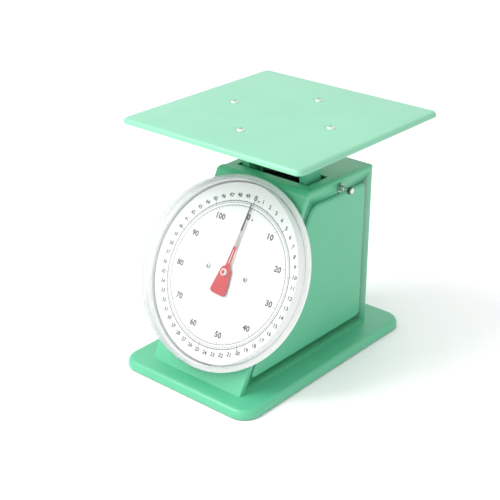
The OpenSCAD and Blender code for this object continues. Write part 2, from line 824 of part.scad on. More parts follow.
// Bar between the legs that pulls the springs down
module carrier_crossbar() {
    inner = carrier_w - 2 * carrier_t;
    color(steel) translate([0, carrier_y, crossbar_z]) difference() {
        union() {
            translate([0, 0, 1.5]) cube([inner, 20, 3], center = true);
            for (s = [-1, 1]) translate([s * (inner / 2 - 1), 0, 5]) cube([2, 20, 10], center = true);
        }
        for (s = [-1, 1]) translate([s * spring_x, 0, -over]) cylinder(h = 5, r = 2.5);
        translate([0, 0, 5]) rod_x(-carrier_w, 2 * carrier_w, m3_r);
    }
}

module carrier_studs() {
    bottom = spring_top - spring_turns * spring_pitch;
    color(zinc) for (s = [-1, 1]) translate([s * spring_x, carrier_y, 0]) {
        translate([0, 0, crossbar_z + 3]) cylinder(h = 3, r = spring_r + wire_r);
        translate([0, 0, crossbar_z + 6 - eps]) cylinder(h = bottom + 8 - crossbar_z - 6, r = plug_r);
        translate([0, 0, crossbar_z - 6]) cylinder(h = 9 + eps, r = 2.5);
        translate([0, 0, crossbar_z - 4]) hex_nut(8, 4, 2.5 - eps);
    }
}

module carrier_pins() {
    color(zinc) translate([0, carrier_y, 0]) for (s = [-1, 1]) {
        for (z = [upper_pivot_z, lower_pivot_z]) translate([0, 0, z + lever_rise]) {
            rod_x(s > 0 ? carrier_w / 2 - carrier_t - 1.5 : -carrier_w / 2 - 6, 1.5 + carrier_t + 6, pin_r);
            rod_x(s > 0 ? carrier_w / 2 - carrier_t - 1.5 : -carrier_w / 2 + carrier_t, 1.5, 3.4);
            rod_x(s > 0 ? carrier_w / 2 : -carrier_w / 2 - 1.6, 1.6, 3.4);
        }
        translate([0, 0, crossbar_z + 5]) rod_x(s > 0 ? carrier_w / 2 - 4.5 : -carrier_w / 2 - 1, 5.5, m3_r);
    }
}

// Plate across the legs with an arm whose level slot drives the rack's pin
module rack_yoke() {
    pin_y = dial_y - rack_mid * cos(dial_tilt) + rack_pin_at * sin(dial_tilt);
    pin_z = dial_z + rack_mid * sin(dial_tilt) + rack_pin_at * cos(dial_tilt);
    reach = travel * tan(dial_tilt);
    face = carrier_y - carrier_d / 2;
    color(steel) difference() {
        union() {
            translate([-carrier_w / 2, face - 1.6, pin_z - 10]) cube([carrier_w, 1.6, 20]);
            translate([10.5, pin_y - reach - 4.2, pin_z - 5]) cube([2, face - pin_y + reach + 4.2, 10]);
        }
        translate([11.5, pin_y - reach / 2, pin_z]) rotate([90, 0, 90]) linear_extrude(6, center = true) {
            square([reach + 0.4, 2 * (rack_pin_r + fit)], center = true);
            for (e = [-1, 1]) translate([e * (reach / 2 + 0.2), 0]) circle(rack_pin_r + fit);
        }
        for (s = [-1, 1]) translate([s * (carrier_w / 2 - 5), face - 3, 160])
            rotate([-90, 0, 0]) cylinder(h = 6, r = m3_r);
    }
}

module yoke_rivets() {
    face = carrier_y - carrier_d / 2;
    color(zinc) for (s = [-1, 1]) translate([s * (carrier_w / 2 - 5), face - 1.6, 160]) rotate([90, 0, 0]) {
        dome(2.8, 1.4);
        translate([0, 0, -1.6 - carrier_t]) cylinder(h = 1.6 + carrier_t + 0.5, r = m3_r);
    }
}

// --- Springs ---

ring_sides = 8;
turn_steps = 10;
// Ring k of the coiled wire, as points round the wire's centre line
function coil_ring(k) = let (a = k * 360 / turn_steps, z = -k * spring_pitch / turn_steps)
    [for (j = [0:ring_sides - 1]) let (b = j * 360 / ring_sides, r = spring_r + wire_r * cos(b))
        [r * cos(a), r * sin(a), z + wire_r * sin(b)]];

module coil_spring() {
    n = spring_turns * turn_steps;
    polyhedron(points = [for (k = [0:n]) each coil_ring(k)],
        faces = concat([[for (j = [0:ring_sides - 1]) j]],
            [for (k = [0:n - 1], j = [0:ring_sides - 1]) let (a = k * ring_sides, b = (j + 1) % ring_sides)
                each [[a + j, a + ring_sides + j, a + b], [a + b, a + ring_sides + j, a + ring_sides + b]]],
            [[for (j = [ring_sides - 1:-1:0]) n * ring_sides + j]]));
}

module spring_left() { color(steel) translate([-spring_x, carrier_y, spring_top]) coil_spring(); }
module spring_right() { color(steel) translate([spring_x, carrier_y, spring_top]) coil_spring(); }

base_plate();
rubber_feet();
casing();
front_panel();
rear_panel();
rear_screws();
casing_screws();
frame_plate_left();
frame_plate_right();
frame_screws();
spring_hanger();
hanger_studs();
hanger_nuts();
overload_stop();
stop_buffer();
upper_pivot_rod();
lower_pivot_rod();
pivot_clips();
dial_pan();
dial_face();
dial_screws();
dial_cover();
movement_front_plate();
movement_back_plate();
movement_pillars();
movement_spacers();
movement_screws();
arbor_bushes();
rack_guide();
zero_bush();
zero_nut();
platform();
platform_screws();
platform_nuts();
spider();
carrier();
carrier_rivets();
carrier_crossbar();
carrier_studs();
carrier_pins();
rack_yoke();
yoke_rivets();
upper_lever();
lower_lever();
spring_left();
spring_right();
rack();
rack_pin();
pinion();
arbor();
pointer_hub();
pointer();
zero_spindle();
zero_cam();
zero_knob();
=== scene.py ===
import bpy
import bmesh
import json
import math
from mathutils import Matrix, Vector


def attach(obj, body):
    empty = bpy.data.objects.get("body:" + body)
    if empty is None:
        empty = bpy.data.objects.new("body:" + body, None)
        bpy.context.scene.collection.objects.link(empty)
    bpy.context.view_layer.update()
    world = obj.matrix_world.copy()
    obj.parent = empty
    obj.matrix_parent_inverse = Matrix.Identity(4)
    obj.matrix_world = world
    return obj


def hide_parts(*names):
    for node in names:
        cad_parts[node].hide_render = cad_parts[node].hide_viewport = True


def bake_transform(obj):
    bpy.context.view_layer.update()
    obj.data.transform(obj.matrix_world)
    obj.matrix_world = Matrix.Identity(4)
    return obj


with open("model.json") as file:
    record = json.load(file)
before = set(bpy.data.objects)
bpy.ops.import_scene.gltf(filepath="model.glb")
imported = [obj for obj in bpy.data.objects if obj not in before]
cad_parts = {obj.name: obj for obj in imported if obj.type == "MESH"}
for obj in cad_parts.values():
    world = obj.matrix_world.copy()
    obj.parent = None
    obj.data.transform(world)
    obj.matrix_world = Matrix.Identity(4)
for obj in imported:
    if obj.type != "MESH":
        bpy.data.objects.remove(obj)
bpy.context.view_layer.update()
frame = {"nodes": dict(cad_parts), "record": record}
nodes = frame["nodes"]

# pieces are shaped in millimetres and set down in metres
millimetres = Matrix.Scale(0.001, 4)
dialPlane = Matrix.Translation((0, -76.44, 125)) @ Matrix.Rotation(math.radians(61), 4, "X")

# camera and light
view = dict(azimuth=40.42, elevation=25.05, roll=0.28, distance=1.2757, lens=84.27,
            target=(0.0331, -0.0708, 0.1604))


def makeCamera():
    data = bpy.data.cameras.new("camera")
    data.lens = view["lens"]
    data.sensor_width = 36
    data.clip_end = 20
    camera = bpy.data.objects.new("camera", data)
    bpy.context.scene.collection.objects.link(camera)
    turn = (Matrix.Rotation(math.radians(view["azimuth"]), 4, "Z")
            @ Matrix.Rotation(math.radians(90 - view["elevation"]), 4, "X")
            @ Matrix.Rotation(math.radians(view["roll"]), 4, "Z"))
    camera.matrix_world = (Matrix.Translation(Vector(view["target"])) @ turn
                           @ Matrix.Translation((0, 0, view["distance"])))
    bpy.context.scene.camera = camera


studio = dict(sky=1.0, keyPower=46, keySize=1.2, keyPlace=(-0.95, -1.35, 2.1),
              fillPower=20, fillSize=2.2, fillPlace=(0.1, -2.6, 0.75), floorSize=9)


def makeStudio():
    scene = bpy.context.scene
    scene.view_settings.view_transform = "Standard"
    world = bpy.data.worlds.new("studio")
    world.use_nodes = True
    background = world.node_tree.nodes["Background"]
    background.inputs["Color"].default_value = (1, 1, 1, 1)
    background.inputs["Strength"].default_value = studio["sky"]
    scene.world = world

    for name in ("key", "fill"):
        lamp = bpy.data.lights.new(name + "Softbox", "AREA")
        lamp.shape = "SQUARE"
        lamp.size = studio[name + "Size"]
        lamp.energy = studio[name + "Power"]
        box = bpy.data.objects.new(name + "Softbox", lamp)
        scene.collection.objects.link(box)
        place = Vector(studio[name + "Place"])
        aim = Vector((0, 0, 0.14)) - place
        box.matrix_world = Matrix.Translation(place) @ aim.to_track_quat("-Z", "Y").to_matrix().to_4x4()

    bm = bmesh.new()
    bmesh.ops.create_grid(bm, x_segments=1, y_segments=1, size=studio["floorSize"] / 2)
    mesh = bpy.data.meshes.new("studioFloor")
    bm.to_mesh(mesh)
    bm.free()
    floor = bpy.data.objects.new("studioFloor", mesh)
    scene.collection.objects.link(floor)
    finish, _, shader = newFinish("floorPaper")
    shader.inputs["Base Color"].default_value = (0.97, 0.97, 0.97, 1)
    shader.inputs["Roughness"].default_value = 0.9
    mesh.materials.append(finish)


# finishes
def newFinish(name):
    finish = bpy.data.materials.new(name)
    finish.use_nodes = True
    tree = finish.node_tree
    return finish, tree, tree.nodes["Principled BSDF"]


def addNode(tree, kind, **settings):
    node = tree.nodes.new(kind)
    for key, value in settings.items():
        if key in node.inputs:
            node.inputs[key].default_value = value
        else:
            setattr(node, key, value)
    return node


def placeOf(tree, stretch=(1, 1, 1)):
    coords = addNode(tree, "ShaderNodeTexCoord")
    mapping = addNode(tree, "ShaderNodeMapping")
    mapping.inputs["Scale"].default_value = stretch
    tree.links.new(coords.outputs["Object"], mapping.inputs["Vector"])
    return mapping.outputs["Vector"]


def cloudy(tree, place, scale, detail, low, high):  # noise spread over low..high
    noise = addNode(tree, "ShaderNodeTexNoise", Scale=scale, Detail=detail)
    tree.links.new(place, noise.inputs["Vector"])
    spread = addNode(tree, "ShaderNodeMapRange")
    spread.inputs["From Min"].default_value = 0.3
    spread.inputs["From Max"].default_value = 0.7
    spread.inputs["To Min"].default_value = low
    spread.inputs["To Max"].default_value = high
    tree.links.new(noise.outputs["Fac"], spread.inputs["Value"])
    return spread.outputs["Result"]


def tinted(tree, factor, first, second):
    mix = addNode(tree, "ShaderNodeMix", data_type="RGBA")
    mix.inputs[6].default_value = (*first, 1)
    mix.inputs[7].default_value = (*second, 1)
    tree.links.new(factor, mix.inputs["Factor"])
    return mix.outputs[2]


def layered(tree, factor, under, over):  # over shows where factor is 1
    mix = addNode(tree, "ShaderNodeMix", data_type="RGBA")
    tree.links.new(under, mix.inputs[6])
    mix.inputs[7].default_value = (*over, 1)
    tree.links.new(factor, mix.inputs["Factor"])
    return mix.outputs[2]


def wornEdges(tree, place, radius, amount):  # where a rounded normal leaves the true one, broken up
    bevel = addNode(tree, "ShaderNodeBevel", samples=4)
    bevel.inputs["Radius"].default_value = radius
    surface = addNode(tree, "ShaderNodeNewGeometry")
    dot = addNode(tree, "ShaderNodeVectorMath", operation="DOT_PRODUCT")
    tree.links.new(bevel.outputs["Normal"], dot.inputs[0])
    tree.links.new(surface.outputs["Normal"], dot.inputs[1])
    edge = addNode(tree, "ShaderNodeMapRange")
    edge.inputs["From Min"].default_value = 0.97
    edge.inputs["From Max"].default_value = 0.75
    edge.inputs["To Max"].default_value = amount
    tree.links.new(dot.outputs["Value"], edge.inputs["Value"])
    broken = addNode(tree, "ShaderNodeMath", operation="MULTIPLY")
    tree.links.new(edge.outputs["Result"], broken.inputs[0])
    tree.links.new(cloudy(tree, place, 90, 4, 0.0, 1.0), broken.inputs[1])
    return broken.outputs["Value"]


def bumped(tree, shader, height, distance, strength=1.0):
    bump = addNode(tree, "ShaderNodeBump")
    bump.inputs["Strength"].default_value = strength
    bump.inputs["Distance"].default_value = distance
    tree.links.new(height, bump.inputs["Height"])
    tree.links.new(bump.outputs["Normal"], shader.inputs["Normal"])


enamel = dict(deep=(0.072, 0.42, 0.232), fresh=(0.085, 0.455, 0.256), worn=(0.34, 0.62, 0.48), edge=0.0007)


def mintEnamel(name="mintEnamel", paler=0):  # stove enamel with faint orange peel and rubbed edges
    finish, tree, shader = newFinish(name)
    place = placeOf(tree)
    # paler lifts both tones towards white, a painted sheen standing in for white light reflected off a top
    deep, fresh = (tuple(c + (1 - c) * paler for c in enamel[key]) for key in ("deep", "fresh"))
    colour = tinted(tree, cloudy(tree, place, 9, 3, 0, 1), deep, fresh)
    colour = layered(tree, wornEdges(tree, place, enamel["edge"], 0.5), colour, enamel["worn"])
    tree.links.new(colour, shader.inputs["Base Color"])
    tree.links.new(cloudy(tree, place, 40, 3, 0.4, 0.5), shader.inputs["Roughness"])
    shader.inputs["Coat Weight"].default_value = 0.5
    shader.inputs["Coat Roughness"].default_value = 0.32
    bumped(tree, shader, cloudy(tree, place, 420, 2, 0, 1), 0.000012, 0.5)
    return finish


def platedMetal(name, colour, shade, roughness, grain, stretch=(1, 1, 1)):  # metal with a fine grain
    finish, tree, shader = newFinish(name)
    place = placeOf(tree, stretch)
    tint = tinted(tree, cloudy(tree, place, 60, 4, 0, 1), shade, colour)
    bright = tuple(min(1, c * 1.15) for c in colour)
    tint = layered(tree, wornEdges(tree, placeOf(tree), 0.0003, 0.5), tint, bright)
    tree.links.new(tint, shader.inputs["Base Color"])
    shader.inputs["Metallic"].default_value = 1
    gloss = cloudy(tree, place, grain, 4, roughness * 0.75, roughness * 1.3)
    tree.links.new(gloss, shader.inputs["Roughness"])
    bumped(tree, shader, cloudy(tree, place, grain * 2, 3, 0, 1), 0.00002, 0.5)
    return finish


def softRubber(name="softRubber"):
    finish, tree, shader = newFinish(name)
    place = placeOf(tree)
    tint = tinted(tree, cloudy(tree, place, 50, 4, 0, 1), (0.012, 0.012, 0.013), (0.032, 0.031, 0.03))
    tree.links.new(tint, shader.inputs["Base Color"])
    tree.links.new(cloudy(tree, place, 150, 3, 0.6, 0.85), shader.inputs["Roughness"])
    bumped(tree, shader, cloudy(tree, place, 900, 3, 0, 1), 0.00006)
    return finish


def moulded(name, colour, shade, roughness=0.3, grain=500, depth=0.00002):  # moulded or lacquered part
    finish, tree, shader = newFinish(name)
    place = placeOf(tree)
    tint = tinted(tree, cloudy(tree, place, 25, 3, 0, 1), shade, colour)
    rubbed = tuple(min(1, c * 0.8 + 0.2) for c in colour)
    tint = layered(tree, wornEdges(tree, place, 0.0003, 0.35), tint, rubbed)
    tree.links.new(tint, shader.inputs["Base Color"])
    gloss = cloudy(tree, place, 80, 3, roughness * 0.8, roughness * 1.25)
    tree.links.new(gloss, shader.inputs["Roughness"])
    bumped(tree, shader, cloudy(tree, place, grain, 3, 0, 1), depth, 0.6)
    return finish


clearCover = dict(tint=(0.68, 0.7, 0.7), passed=(0.98, 0.985, 0.985), gloss=0.08, least=0.015, most=0.6)


def clearPlastic(name="clearPlastic"):  # light goes straight through, with more shine at a slant
    finish, tree, shader = newFinish(name)
    place = placeOf(tree)
    shader.inputs["Base Color"].default_value = (*clearCover["tint"], 1)
    gloss = cloudy(tree, place, 60, 3, clearCover["gloss"], clearCover["gloss"] * 2.4)
    tree.links.new(gloss, shader.inputs["Roughness"])
    bumped(tree, shader, cloudy(tree, place, 30, 2, 0, 1), 0.00002, 0.3)
    through = addNode(tree, "ShaderNodeBsdfTransparent")
    through.inputs["Color"].default_value = (*clearCover["passed"], 1)
    facing = addNode(tree, "ShaderNodeLayerWeight", Blend=0.3)
    share = addNode(tree, "ShaderNodeMapRange")
    share.inputs["To Min"].default_value = clearCover["least"]
    share.inputs["To Max"].default_value = clearCover["most"]
    tree.links.new(facing.outputs["Fresnel"], share.inputs["Value"])
    mix = addNode(tree, "ShaderNodeMixShader")
    tree.links.new(share.outputs["Result"], mix.inputs["Fac"])
    tree.links.new(through.outputs["BSDF"], mix.inputs[1])
    tree.links.new(shader.outputs["BSDF"], mix.inputs[2])
    tree.links.new(mix.outputs["Shader"], tree.nodes["Material Output"].inputs["Surface"])
    return finish


finishes = {
    "mint_paint": mintEnamel(),
    "zinc_plate": platedMetal("zincPlate", (0.5, 0.53, 0.51), (0.36, 0.39, 0.38), 0.34, 260),
    "bare_steel": platedMetal("rolledSteel", (0.55, 0.56, 0.57), (0.42, 0.43, 0.45), 0.38, 120, (1, 1, 14)),
    "brass": platedMetal("stampedBrass", (0.76, 0.56, 0.26), (0.62, 0.43, 0.18), 0.32, 140, (1, 9, 1)),
    "black_rubber": softRubber(),
    "clear_plastic": clearPlastic(),
    "white_dial": moulded("whiteLacquer", (0.83, 0.83, 0.82), (0.79, 0.79, 0.785), 0.34),
    "red_paint": moulded("redLacquer", (0.56, 0.035, 0.045), (0.47, 0.025, 0.035), 0.3),
    "white_plastic": moulded("ivoryPlastic", (0.78, 0.77, 0.74), (0.7, 0.69, 0.66), 0.4),
}
print("finishes ready:", len(finishes))


# making a piece out of a bmesh
def finishPiece(name, bm, place, body, slot, replaced=(), extra=(), smooth=32, finish=None):
    bmesh.ops.transform(bm, matrix=millimetres @ place, verts=bm.verts)
    mesh = bpy.data.meshes.new(name)
    bm.to_mesh(mesh)
    bm.free()
    mesh.materials.append(finish or finishes[slot])
    for other in extra:
        mesh.materials.append(other)
    for face in mesh.polygons:
        face.use_smooth = True
    mesh.set_sharp_from_angle(angle=math.radians(smooth))
    piece = bpy.data.objects.new(name, mesh)
    bpy.context.scene.collection.objects.link(piece)
    if isinstance(body, str):
        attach(piece, body)
    else:  # spans two bodies: left unparented, with its transform baked in
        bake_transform(piece)
    if replaced:
        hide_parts(*replaced)
    return piece


def drill(bm, centre, turn, radius, length):  # a round hole right through a closed sheet
    holder = bpy.data.objects.new("drilled", bpy.data.meshes.new("drilled"))
    bm.to_mesh(holder.data)
    bit = bmesh.new()
    bmesh.ops.create_cone(bit, cap_ends=True, segments=40, radius1=radius, radius2=radius, depth=length)
    bmesh.ops.transform(bit, matrix=Matrix.Translation(centre) @ turn, verts=bit.verts)
    cutter = bpy.data.objects.new("bit", bpy.data.meshes.new("bit"))
    bit.to_mesh(cutter.data)
    bit.free()
    for made in (holder, cutter):
        bpy.context.scene.collection.objects.link(made)
    hole = holder.modifiers.new("hole", "BOOLEAN")
    hole.operation, hole.solver, hole.use_self, hole.object = "DIFFERENCE", "EXACT", True, cutter
    bpy.context.view_layer.update()
    mesh = bpy.data.meshes.new_from_object(holder.evaluated_get(bpy.context.evaluated_depsgraph_get()))
    bm.clear()
    bm.from_mesh(mesh)
    for made in (holder, cutter):
        old = made.data
        bpy.data.objects.remove(made)
        bpy.data.meshes.remove(old)
    bpy.data.meshes.remove(mesh)


def outward(bm):
    bmesh.ops.remove_doubles(bm, verts=bm.verts, dist=0.001)
    bmesh.ops.recalc_face_normals(bm, faces=bm.faces)


def bevelEdges(bm, edges, radius, steps):
    bmesh.ops.bevel(bm, geom=edges, offset=radius, offset_type="OFFSET", segments=steps, profile=0.5,
                    affect="EDGES", material=-1, clamp_overlap=True)


def block(bm, size, centre=(0, 0, 0)):
    made = bmesh.ops.create_cube(bm, size=1)["verts"]
    bmesh.ops.scale(bm, vec=size, verts=made)
    bmesh.ops.translate(bm, vec=centre, verts=made)
    return made


def sheetThick(bm, thickness):  # gives an open shell its wall, on the inside
    bmesh.ops.recalc_face_normals(bm, faces=bm.faces)
    bmesh.ops.solidify(bm, geom=bm.faces[:], thickness=thickness)


def turned(bm, path, steps):  # spins a closed or open path of (radius, height) about the z axis
    verts = [bm.verts.new((r, 0, z)) for r, z in path]
    edges = [bm.edges.new(pair) for pair in zip(verts, verts[1:])]
    bmesh.ops.spin(bm, geom=verts + edges, cent=(0, 0, 0), axis=(0, 0, 1), angle=2 * math.pi,
                   steps=steps, use_merge=True)


def joinTo(bm, part):  # adds one bmesh to another
    mesh = bpy.data.meshes.new("part")
    part.to_mesh(mesh)
    part.free()
    bm.from_mesh(mesh)
    bpy.data.meshes.remove(mesh)


def cutFaces(bm, faces, point, normal):  # splits these faces where the plane crosses them
    edges = list({e for f in faces for e in f.edges})
    verts = list({v for f in faces for v in f.verts})
    bmesh.ops.bisect_plane(bm, geom=faces + edges + verts, plane_co=point, plane_no=normal)


def cutAll(bm, point, normal):
    everything = bm.verts[:] + bm.edges[:] + bm.faces[:]
    bmesh.ops.bisect_plane(bm, geom=everything, plane_co=point, plane_no=normal)


def arc(centre, radius, start, end, steps):  # points of a rounded corner in a path
    return [(centre[0] + radius * math.cos(math.radians(start + (end - start) * i / steps)),
             centre[1] + radius * math.sin(math.radians(start + (end - start) * i / steps)))
            for i in range(steps + 1)]


# sheet-metal pans: base plate and platform
def roundedPan(bm, width, depth, height, corner, lip, sheet, cornerSteps, lipSteps):
    block(bm, (width, depth, height), (0, 0, height / 2))
    uprights = [e for e in bm.edges if abs(e.verts[0].co.z - e.verts[1].co.z) > height / 2]
    bevelEdges(bm, uprights, corner, cornerSteps)
    rim = [e for e in bm.edges if min(v.co.z for v in e.verts) > height - 0.01]
    bevelEdges(bm, rim, lip, lipSteps)
    under = [f for f in bm.faces if f.normal.z < -0.9]
    bmesh.ops.delete(bm, geom=under, context="FACES_ONLY")
    sheetThick(bm, sheet)


basePlate = dict(width=193, depth=300, top=12, gap=1.5, corner=22, lip=6, sheet=1.2)


def makeBasePlate():
    b = basePlate
    bm = bmesh.new()
    roundedPan(bm, b["width"], b["depth"], b["top"] - b["gap"], b["corner"], b["lip"], b["sheet"], 14, 8)
    place = Matrix.Translation((0, 0, b["gap"]))
    return finishPiece("basePlate", bm, place, "stand", "mint_paint", ["base_plate"])


# the last value makes the platform's enamel paler: painted sheen for the white light its top reflects
platformPan = dict(width=253, height=6, top=285.5, middle=21, corner=8, lip=5, sheet=1, reach=69,
                   dimpleRadius=9.5, dimpleDepth=0.9, cell=22, cellCuts=15, skin=1.5, paintedSheen=0.12)


def levelSheet(bm):  # the flat of the platform, top and underside
    low = platformPan["height"] - platformPan["skin"]
    return [f for f in bm.faces if abs(f.normal.z) > 0.99 and f.calc_center_median().z > low]


def makePlatform():
    p = platformPan
    bm = bmesh.new()
    roundedPan(bm, p["width"], p["width"], p["height"], p["corner"], p["lip"], p["sheet"], 10, 7)
    reach, half = p["reach"], p["cell"] / 2
    spots = [Vector((reach, 0)), Vector((-reach, 0)), Vector((0, reach)), Vector((0, -reach))]
    for sign in (1, -1):  # cut a square cell round each screw, in the top sheet and its underside
        for offset in (reach - half, reach + half, half):
            for axis in ((1, 0, 0), (0, 1, 0)):
                cutFaces(bm, levelSheet(bm), Vector(axis) * offset * sign, axis)
    cells = [f for f in levelSheet(bm) if min((f.calc_center_median().xy - s).length for s in spots) < 2]
    sides = list({e for f in cells for e in f.edges})
    bmesh.ops.subdivide_edges(bm, edges=sides, cuts=p["cellCuts"], use_grid_fill=True)
    for v in bm.verts:  # press the dimple down round each screw
        if v.co.z > p["height"] - p["skin"]:
            away = min((v.co.xy - s).length for s in spots) / p["dimpleRadius"]
            if away < 1:
                v.co.z -= p["dimpleDepth"] * (1 + math.cos(math.pi * max(0, away * 1.7 - 0.7))) / 2
    place = Matrix.Translation((0, p["middle"], p["top"] - p["height"]))
    # the platform gets its own paler enamel, a painted sheen on its top
    return finishPiece("platformTop", bm, place, "platform_set", "mint_paint", ["platform"],
                       finish=mintEnamel("platformSheenEnamel", p["paintedSheen"]))


# cross-recessed screw heads
crossShape = dict(edge=0.18, width=0.15, reach=0.52, floor=0.35)  # shares of the head's height and radius


def crossHead(bm, radius, height, centre, spin):
    c = crossShape
    part = bmesh.new()
    profile = [(0, 0), (radius, 0), (radius, height * c["edge"])]
    for angle in (18, 36, 54, 72):
        rise = c["edge"] + (1 - c["edge"]) * math.sin(math.radians(angle))
        profile.append((radius * math.cos(math.radians(angle)), height * rise))
    turned(part, profile + [(0, height)], 24)
    outward(part)
    width, reach = radius * c["width"], radius * c["reach"]
    for axis in ((1, 0, 0), (0, 1, 0)):
        for offset in (-reach, -width, width, reach):
            cutAll(part, Vector(axis) * offset, axis)
    recess = []
    for face in part.faces:
        middle = face.calc_center_median()
        across, along = sorted((abs(middle.x), abs(middle.y)))
        if middle.z > height * 0.3 and across < width and along < reach:
            recess.append(face)
    pushed = bmesh.ops.extrude_face_region(part, geom=recess)["geom"]
    bmesh.ops.delete(part, geom=recess, context="FACES")
    for v in (v for v in pushed if isinstance(v, bmesh.types.BMVert)):
        v.co.z = height * c["floor"]
    bmesh.ops.recalc_face_normals(part, faces=part.faces)
    place = Matrix.Translation(centre) @ Matrix.Rotation(math.radians(spin), 4, "Z")
    bmesh.ops.transform(part, matrix=place, verts=part.verts)
    joinTo(bm, part)


def shank(bm, radius, length, top):  # a plain round bar hanging from this point
    bar = bmesh.ops.create_cone(bm, cap_ends=True, segments=20, radius1=radius, radius2=radius, depth=length)
    place = Matrix.Translation(top) @ Matrix.Translation((0, 0, -length / 2))
    bmesh.ops.transform(bm, matrix=place, verts=bar["verts"])


platformScrew = dict(radius=5.2, height=2.3, sink=0.9, shank=2.5, length=8)


def makePlatformScrews():
    s = platformScrew
    bm = bmesh.new()
    for i in range(4):
        spot = Matrix.Rotation(math.radians(90 * i), 4, "Z") @ Vector((platformPan["reach"], 0, -s["sink"]))
        crossHead(bm, s["radius"], s["height"], spot, 25 + 70 * i)
        shank(bm, s["shank"], s["length"] - s["sink"], spot)
    place = Matrix.Translation((0, platformPan["middle"], platformPan["top"]))
    # the heads' metal is tinted green: a painted reflection of the green platform round them
    return finishPiece("platformScrews", bm, place, "platform_set", "zinc_plate", ["platform_screws"],
                       finish=platedMetal("lensHeadGreenReflection", (0.72, 0.82, 0.77), (0.6, 0.71, 0.66), 0.42, 300))


dialScrew = dict(radius=3, height=1.5, apart=27.5, seat=-5, shank=1.5, length=5)


def makeDialScrews():
    s = dialScrew
    bm = bmesh.new()
    for side in (-1, 1):
        spot = (side * s["apart"], 0, s["seat"])
        crossHead(bm, s["radius"], s["height"], spot, 30 * side)
        shank(bm, s["shank"], s["length"], spot)
    return finishPiece("dialScrews", bm, dialPlane, "stand", "zinc_plate", ["dial_screws"])


# casing, front panel
casingForm = dict(half=66.5, front=-126.5, back=112, foot=12, top=218.5, tilt=29, lap=1, sheet=1,
                  topRound=6, lip=6, fold=1.6, rearFold=2, rearBorder=14, opening=(-52, 52, 5, 42),
                  spindle=(46, 207), spindleHole=4, arborHole=9, arborHoleAt=-11, holeDepth=12)
sidePad = dict(foot=25.5, top=199, back=95.5, frontFoot=11.5, frontTop=19.5, root=0.4, press=2, slope=2.2,
               corners=8, softEdge=0.8)
wideFace = 5000  # mm2, only the big flat sides of the casing are larger
sideways = Matrix.Rotation(math.radians(90), 4, "Y")  # turns a piece's own z to the zero knob's side


def slopeAt(z, depth=0):  # y of the sloping front at height z, drawn in by this depth
    c = casingForm
    lean = math.radians(c["tilt"])
    return c["front"] + depth / math.cos(lean) + (z - c["foot"]) * math.tan(lean)


def casingBlock(bm, inset):  # the casing's outer form, drawn in all round
    c = casingForm
    half, top, back = c["half"] - inset, c["top"] - inset, c["back"] - inset
    for v in block(bm, (2 * half, 2, top - c["foot"]), (0, 0, (top + c["foot"]) / 2)):
        v.co.y = back if v.co.y > 0 else slopeAt(v.co.z, inset)
    bm.normal_update()
    rim = [e for e in bm.edges if all(v.co.z > top - 0.01 for v in e.verts)]
    bevelEdges(bm, rim, c["topRound"] - inset, 8)  # one pass, so that the rounds meet at the corners


def makeCasing():
    c = casingForm
    bm = bmesh.new()
    casingBlock(bm, c["lap"])
    corners = [e for e in bm.edges if all(v.co.y > c["back"] - 1.5 for v in e.verts)
               and abs(e.verts[0].co.z - e.verts[1].co.z) > 100]
    bevelEdges(bm, corners, c["rearFold"], 4)
    gone = [f for f in bm.faces if f.normal.z < -0.9 or (f.normal.y < -0.7 and f.calc_area() > wideFace)]
    bmesh.ops.delete(bm, geom=gone, context="FACES_ONLY")
    rear = [f for f in bm.faces if f.normal.y > 0.99 and f.calc_area() > wideFace]
    bmesh.ops.inset_region(bm, faces=rear, thickness=c["rearBorder"], use_even_offset=True)
    bmesh.ops.delete(bm, geom=rear, context="FACES")
    x0, x1, y0, y1 = c["opening"]
    for point, normal in (((x0, 0, 0), (1, 0, 0)), ((x1, 0, 0), (1, 0, 0)),
                          ((0, y0, 0), (0, 1, 0)), ((0, y1, 0), (0, 1, 0))):
        cutFaces(bm, [f for f in bm.faces if f.normal.z > 0.999], point, normal)
    hole = [f for f in bm.faces if f.normal.z > 0.999 and x0 < f.calc_center_median().x < x1
            and y0 < f.calc_center_median().y < y1]
    bmesh.ops.delete(bm, geom=hole, context="FACES_ONLY")
    sheetThick(bm, c["sheet"])
    addSidePads(bm)
    drill(bm, (c["half"], *c["spindle"]), sideways, c["spindleHole"], c["holeDepth"])
    return finishPiece("casingShell", bm, Matrix.Identity(4), "stand", "mint_paint", ["casing"])


def addSidePads(bm):  # the raised panel pressed into each side
    c, p = casingForm, sidePad
    wall = c["half"] - c["lap"]
    inner, outer = wall - p["root"], wall + p["press"]
    for side in (-1, 1):
        part = bmesh.new()
        size = (outer - inner, 2, p["top"] - p["foot"])
        for v in block(part, size, ((inner + outer) / 2, 0, (p["top"] + p["foot"]) / 2)):
            border = p["frontFoot"] if v.co.z < 100 else p["frontTop"]
            v.co.y = p["back"] if v.co.y > 0 else slopeAt(v.co.z) + border
        across = [e for e in part.edges if abs(e.verts[0].co.x - e.verts[1].co.x) > 0.5]
        bevelEdges(part, across, p["corners"], 8)
        face = max((f for f in part.faces if f.normal.x > 0.9), key=lambda f: f.calc_area())
        bmesh.ops.inset_region(part, faces=[face], thickness=p["slope"], use_even_offset=True)
        for v in part.verts:  # the border starts level with the sheet and climbs to the raised face
            if v.co.x > outer - 0.01 and v not in face.verts:
                v.co.x = outer - p["press"] + 0.05
        part.normal_update()
        bevelEdges(part, list(face.edges), p["softEdge"], 4)
        if side < 0:
            bmesh.ops.scale(part, vec=(-1, 1, 1), verts=part.verts)
            bmesh.ops.reverse_faces(part, faces=part.faces)
        joinTo(bm, part)


